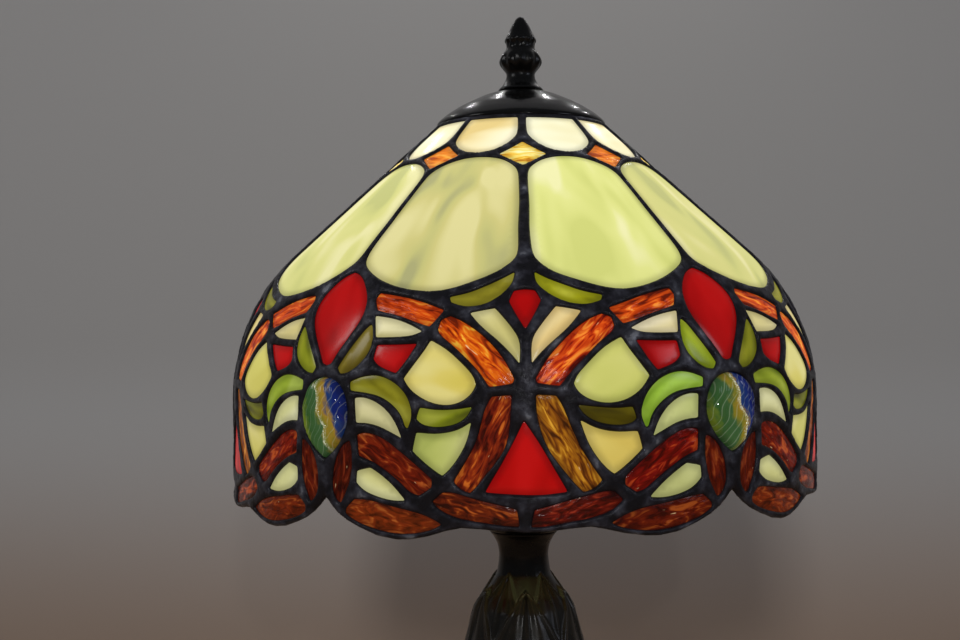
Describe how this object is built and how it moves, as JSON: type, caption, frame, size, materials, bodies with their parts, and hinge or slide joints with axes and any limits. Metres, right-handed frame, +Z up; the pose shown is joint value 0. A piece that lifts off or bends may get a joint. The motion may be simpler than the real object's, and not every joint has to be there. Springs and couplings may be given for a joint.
{
  "type": "leaded glass table lamp",
  "caption": "Table lamp with a domed shade of soldered coloured glass over one bulb, held by a wire harp, cap and finial on a cast vase-shaped base with a round foot.",
  "frame": {"origin": "on the floor plane, under the lamp's vertical axis, at the middle of the felt pad's underside", "axes": "+Z up along the lamp's axis, -Y the front with a plain seam of the shade facing forward, +X to the viewer's right"},
  "size_m": [0.3034, 0.3076, 0.4802],
  "materials": {
    "opal_glass": "streaky opalescent cream glass, fire polished",
    "amber_glass": "rippled orange, red, green and amber art glass",
    "jewel_glass": "pressed dark blue, green and gold glass",
    "solder": "raised solder beads with a black patina, satin",
    "bronze_metal": "dark bronze enamel, semi-gloss",
    "bronze_resin": "cast polyresin painted dark bronze, semi-gloss",
    "brass": "lacquered satin brass",
    "plated_steel": "zinc plated",
    "cast_weight": "as cast, unpainted",
    "phenolic": "black moulded phenolic",
    "felt": "dark green felt",
    "bulb_glass": "inside-frosted lamp glass"
  },
  "bodies": {
    "base": {"felt_pad": "felt", "base_foot": "bronze_resin", "base_weight": "cast_weight", "foot_nut": "plated_steel", "base_vase": "bronze_resin", "seat_cup": "bronze_metal", "seat_nut": "plated_steel", "threaded_pipe": "plated_steel", "cord_bushing": "phenolic", "harp_loop": "brass", "harp_stud": "brass", "harp_saddle": "brass", "lampholder_cap": "brass", "lampholder_shell": "brass", "lampholder_insulator": "phenolic", "screw_shell": "brass", "centre_contact": "brass"},
    "shade": {"crown_panel_01": "opal_glass", "crown_panel_02": "opal_glass", "crown_panel_03": "opal_glass", "crown_panel_04": "opal_glass", "crown_panel_05": "opal_glass", "crown_panel_06": "opal_glass", "crown_panel_07": "opal_glass", "crown_panel_08": "opal_glass", "crown_panel_09": "opal_glass", "crown_panel_10": "opal_glass", "cream_panel_01": "opal_glass", "cream_panel_02": "opal_glass", "cream_panel_03": "opal_glass", "cream_panel_04": "opal_glass", "cream_panel_05": "opal_glass", "cream_panel_06": "opal_glass", "cream_panel_07": "opal_glass", "cream_panel_08": "opal_glass", "cream_panel_09": "opal_glass", "cream_panel_10": "opal_glass", "mosaic_panel_01": "amber_glass", "mosaic_panel_02": "amber_glass", "mosaic_panel_03": "amber_glass", "mosaic_panel_04": "amber_glass", "mosaic_panel_05": "amber_glass", "mosaic_panel_06": "amber_glass", "mosaic_panel_07": "amber_glass", "mosaic_panel_08": "amber_glass", "mosaic_panel_09": "amber_glass", "mosaic_panel_10": "amber_glass", "jewel_1": "jewel_glass", "jewel_2": "jewel_glass", "jewel_3": "jewel_glass", "jewel_4": "jewel_glass", "jewel_5": "jewel_glass", "solder_lattice": "solder", "vase_cap": "bronze_metal"},
    "finial": {"finial": "bronze_resin"},
    "bulb": {"bulb_glass": "bulb_glass", "bulb_cap": "plated_steel"},
    "knob": {"switch_knob": "phenolic"},
    "ferrule_left": {"harp_ferrule_left": "brass"},
    "ferrule_right": {"harp_ferrule_right": "brass"}
  },
  "joints": [
    {"name": "shade_lift", "type": "slide", "parent": "base", "child": "shade", "axis": [0, 0, 1], "range_m": [0, 0.25]},
    {"name": "finial_turn", "type": "hinge", "parent": "shade", "child": "finial", "pos_m": [0, 0, 0.44], "axis": [0, 0, 1], "continuous": true},
    {"name": "bulb_turn", "type": "hinge", "parent": "base", "child": "bulb", "pos_m": [0, 0, 0.26], "axis": [0, 0, 1], "continuous": true},
    {"name": "switch_turn", "type": "hinge", "parent": "base", "child": "knob", "pos_m": [0, 0.0166, 0.25], "axis": [0, 1, 0], "continuous": true},
    {"name": "ferrule_left_slide", "type": "slide", "parent": "base", "child": "ferrule_left", "axis": [0, 0, 1], "range_m": [0, 0.016]},
    {"name": "ferrule_right_slide", "type": "slide", "parent": "base", "child": "ferrule_right", "axis": [0, 0, 1], "range_m": [0, 0.016]}
  ]
}
